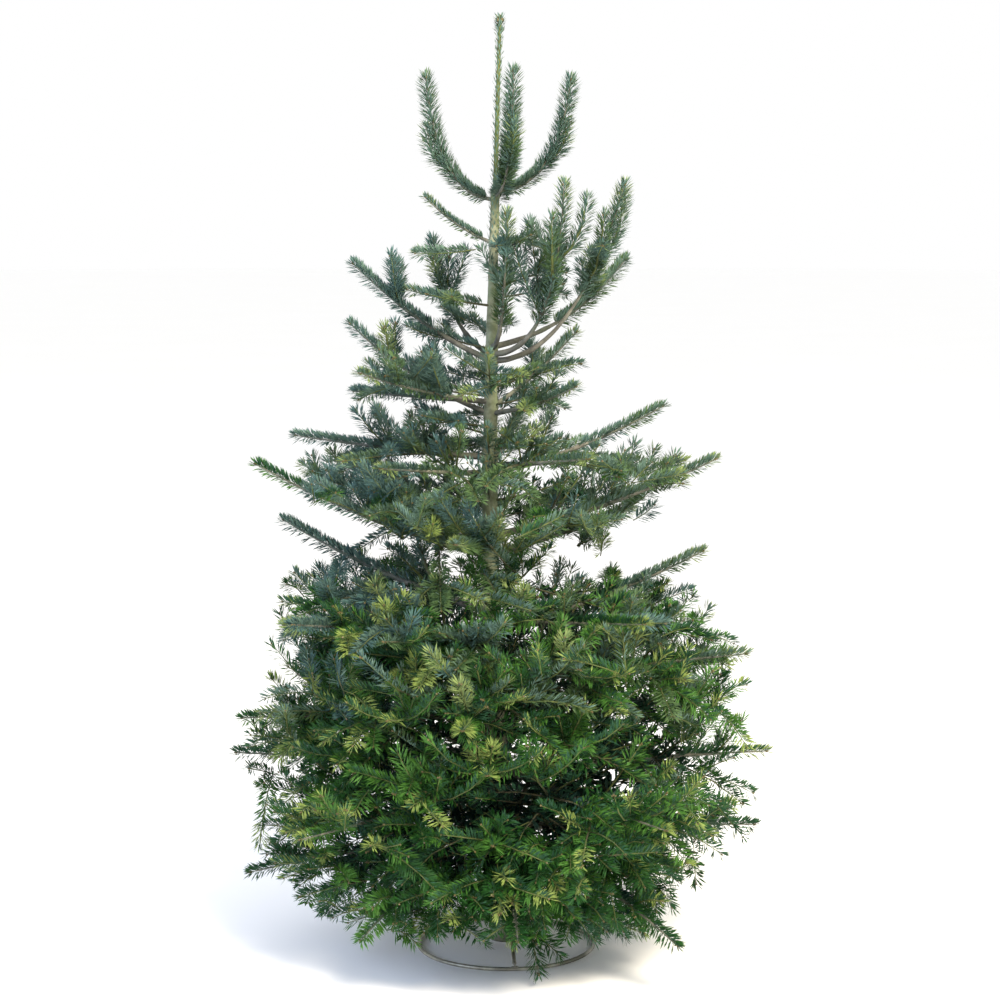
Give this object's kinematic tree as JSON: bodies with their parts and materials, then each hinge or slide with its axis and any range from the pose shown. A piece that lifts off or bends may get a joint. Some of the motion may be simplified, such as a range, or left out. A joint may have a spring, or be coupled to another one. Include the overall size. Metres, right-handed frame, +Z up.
{
  "type": "christmas tree",
  "caption": "Cut fir Christmas tree, bare of decoration, standing in a steel ring stand with its trunk clamped in a socket.",
  "frame": {"origin": "on the floor, under the middle of the whole tree's box", "axes": "+Z up the trunk, +X to the right and +Y away from someone who faces the tree"},
  "size_m": [1.081, 1.0204, 1.85],
  "materials": {
    "trunk_bark": "smooth grey-brown young fir bark with pale patches",
    "bough_bark": "thin grey-brown bark on boughs and twigs",
    "fir_needles": "waxy dark green needles, pale beneath",
    "stand_steel": "zinc-plated round steel bar"
  },
  "bodies": {
    "root": {"trunk": "trunk_bark", "stand_ring": "stand_steel", "stand_socket": "stand_steel", "stand_strut_1": "stand_steel", "stand_strut_2": "stand_steel", "stand_strut_3": "stand_steel", "stand_screw_1": "stand_steel", "stand_screw_2": "stand_steel", "stand_screw_3": "stand_steel", "leader_whorl_left": "fir_needles", "leader_whorl_front": "fir_needles", "leader_whorl_right": "fir_needles", "leader_whorl_back": "fir_needles", "twig_below_leader_left": "fir_needles", "upper_whorl_right_bough": "bough_bark", "upper_whorl_right": "fir_needles", "upper_whorl_front_right": "fir_needles", "upper_whorl_front_bough": "bough_bark", "upper_whorl_front": "fir_needles", "upper_whorl_left_bough": "bough_bark", "upper_whorl_left": "fir_needles", "upper_whorl_back_left": "fir_needles", "upper_whorl_back_right": "fir_needles", "upper_twigs_left": "fir_needles", "upper_twigs_back_right": "fir_needles", "upper_twigs_front_left": "fir_needles", "upper_twigs_front_right": "fir_needles", "upper_twigs_back": "fir_needles", "upper_twigs_back_left": "fir_needles", "middle_whorl_right": "fir_needles", "middle_whorl_back": "fir_needles", "middle_whorl_left": "fir_needles", "middle_whorl_front_left": "fir_needles", "middle_whorl_front_right": "fir_needles", "waist_whorl_left": "fir_needles", "waist_whorl_front": "fir_needles", "waist_whorl_right": "fir_needles", "waist_whorl_back_right": "fir_needles", "waist_whorl_back_left": "fir_needles", "broad_whorl_right": "fir_needles", "broad_whorl_back": "fir_needles", "broad_whorl_left": "fir_needles", "broad_whorl_front_left": "fir_needles", "broad_whorl_front_right": "fir_needles", "deep_whorl_left": "fir_needles", "deep_whorl_front": "fir_needles", "deep_whorl_right": "fir_needles", "deep_whorl_back_right": "fir_needles", "deep_whorl_back_left": "fir_needles", "wide_whorl_right": "fir_needles", "wide_whorl_back": "fir_needles", "wide_whorl_left": "fir_needles", "wide_whorl_front_left": "fir_needles", "wide_whorl_front_right": "fir_needles", "lowest_whorl_left": "fir_needles", "lowest_whorl_front_left": "fir_needles", "lowest_whorl_front": "fir_needles", "lowest_whorl_front_right": "fir_needles", "lowest_whorl_right": "fir_needles", "lowest_whorl_back": "fir_needles"}
  },
  "joints": []
}
